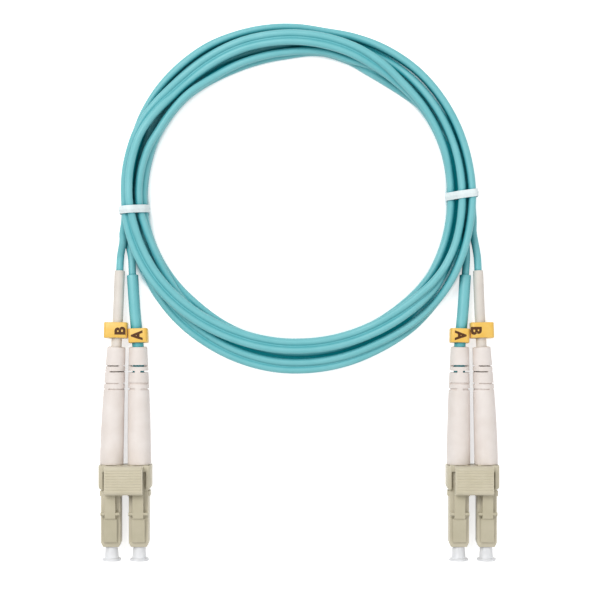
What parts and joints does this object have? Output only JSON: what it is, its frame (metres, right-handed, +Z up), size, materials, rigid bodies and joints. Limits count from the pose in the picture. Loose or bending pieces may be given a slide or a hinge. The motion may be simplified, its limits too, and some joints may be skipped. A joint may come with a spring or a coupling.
{
  "type": "fiber optic patch cord",
  "caption": "Coiled duplex fibre patch cord: aqua zip cord held by white bands, with clipped, capped and lettered plug pairs on booted legs at both ends.",
  "frame": {"origin": "on the floor, below the middle of the two plug pairs (from cap tips to boot tails)", "axes": "+Z up; the plugs point to -Y and lie parallel to Y; the coil lies at +Y; X runs across the pairs"},
  "size_m": [0.09, 0.1211, 0.0094],
  "materials": {
    "jacket": "satin",
    "plug_plastic": "satin",
    "boot": "satin",
    "sleeve_white": "satin",
    "marker": "semi gloss",
    "cap": "translucent",
    "ceramic": "polished",
    "steel": "satin",
    "band": "satin"
  },
  "bodies": {
    "cord": {"coil": "jacket", "clip_left": "plug_plastic", "band_left": "band", "housing_left_a": "plug_plastic", "spring_left_a": "steel", "body_left_a": "plug_plastic", "crimp_left_a": "steel", "boot_left_a": "boot", "leg_left_a": "jacket", "sleeve_left_a": "jacket", "marker_left_a": "marker", "housing_left_b": "plug_plastic", "spring_left_b": "steel", "body_left_b": "plug_plastic", "crimp_left_b": "steel", "boot_left_b": "boot", "leg_left_b": "jacket", "sleeve_left_b": "sleeve_white", "marker_left_b": "marker", "clip_right": "plug_plastic", "band_right": "band", "housing_right_a": "plug_plastic", "spring_right_a": "steel", "body_right_a": "plug_plastic", "crimp_right_a": "steel", "boot_right_a": "boot", "leg_right_a": "jacket", "sleeve_right_a": "jacket", "marker_right_a": "marker", "housing_right_b": "plug_plastic", "spring_right_b": "steel", "body_right_b": "plug_plastic", "crimp_right_b": "steel", "boot_right_b": "boot", "leg_right_b": "jacket", "sleeve_right_b": "sleeve_white", "marker_right_b": "marker"},
    "trigger_left": {"trigger_left": "plug_plastic"},
    "latch_left_a": {"latch_left_a": "plug_plastic"},
    "ferrule_left_a": {"ferrule_left_a": "ceramic", "flange_left_a": "steel", "buffer_left_a": "jacket"},
    "cap_left_a": {"cap_left_a": "cap"},
    "latch_left_b": {"latch_left_b": "plug_plastic"},
    "ferrule_left_b": {"ferrule_left_b": "ceramic", "flange_left_b": "steel", "buffer_left_b": "jacket"},
    "cap_left_b": {"cap_left_b": "cap"},
    "trigger_right": {"trigger_right": "plug_plastic"},
    "latch_right_a": {"latch_right_a": "plug_plastic"},
    "ferrule_right_a": {"ferrule_right_a": "ceramic", "flange_right_a": "steel", "buffer_right_a": "jacket"},
    "cap_right_a": {"cap_right_a": "cap"},
    "latch_right_b": {"latch_right_b": "plug_plastic"},
    "ferrule_right_b": {"ferrule_right_b": "ceramic", "flange_right_b": "steel", "buffer_right_b": "jacket"},
    "cap_right_b": {"cap_right_b": "cap"}
  },
  "joints": [
    {"name": "trigger_left_press", "type": "hinge", "parent": "cord", "child": "trigger_left", "pos_m": [-0.03913, -0.0036, 0.0065], "axis": [1, 0, 0], "range_deg": [0, 9], "stiffness_Nm_per_rad": 0.02},
    {"name": "latch_left_a_flex", "type": "hinge", "parent": "cord", "child": "latch_left_a", "pos_m": [-0.03601, -0.01895, 0.0052], "axis": [1, 0, 0], "range_deg": [-4.5, 0]},
    {"name": "ferrule_left_a_float", "type": "slide", "parent": "cord", "child": "ferrule_left_a", "axis": [0, 1, 0], "range_m": [0, 0.0008], "stiffness_N_per_m": 300, "deforming": ["spring_left_a"]},
    {"name": "cap_left_a_pull", "type": "slide", "parent": "cord", "child": "cap_left_a", "axis": [0, -1, 0], "range_m": [0, 0.015]},
    {"name": "latch_left_b_flex", "type": "hinge", "parent": "cord", "child": "latch_left_b", "pos_m": [-0.04226, -0.01895, 0.0052], "axis": [1, 0, 0], "range_deg": [-4.5, 0]},
    {"name": "ferrule_left_b_float", "type": "slide", "parent": "cord", "child": "ferrule_left_b", "axis": [0, 1, 0], "range_m": [0, 0.0008], "stiffness_N_per_m": 300, "deforming": ["spring_left_b"]},
    {"name": "cap_left_b_pull", "type": "slide", "parent": "cord", "child": "cap_left_b", "axis": [0, -1, 0], "range_m": [0, 0.015]},
    {"name": "trigger_right_press", "type": "hinge", "parent": "cord", "child": "trigger_right", "pos_m": [0.03913, -0.0036, 0.0065], "axis": [1, 0, 0], "range_deg": [0, 9], "stiffness_Nm_per_rad": 0.02},
    {"name": "latch_right_a_flex", "type": "hinge", "parent": "cord", "child": "latch_right_a", "pos_m": [0.03601, -0.01895, 0.0052], "axis": [1, 0, 0], "range_deg": [-4.5, 0]},
    {"name": "ferrule_right_a_float", "type": "slide", "parent": "cord", "child": "ferrule_right_a", "axis": [0, 1, 0], "range_m": [0, 0.0008], "stiffness_N_per_m": 300, "deforming": ["spring_right_a"]},
    {"name": "cap_right_a_pull", "type": "slide", "parent": "cord", "child": "cap_right_a", "axis": [0, -1, 0], "range_m": [0, 0.015]},
    {"name": "latch_right_b_flex", "type": "hinge", "parent": "cord", "child": "latch_right_b", "pos_m": [0.04226, -0.01895, 0.0052], "axis": [1, 0, 0], "range_deg": [-4.5, 0]},
    {"name": "ferrule_right_b_float", "type": "slide", "parent": "cord", "child": "ferrule_right_b", "axis": [0, 1, 0], "range_m": [0, 0.0008], "stiffness_N_per_m": 300, "deforming": ["spring_right_b"]},
    {"name": "cap_right_b_pull", "type": "slide", "parent": "cord", "child": "cap_right_b", "axis": [0, -1, 0], "range_m": [0, 0.015]}
  ],
  "couplings": [
    {"joint": "latch_left_a_flex", "follows": "trigger_left_press", "ratio": -0.45},
    {"joint": "latch_left_b_flex", "follows": "trigger_left_press", "ratio": -0.45},
    {"joint": "latch_right_a_flex", "follows": "trigger_right_press", "ratio": -0.45},
    {"joint": "latch_right_b_flex", "follows": "trigger_right_press", "ratio": -0.45}
  ]
}
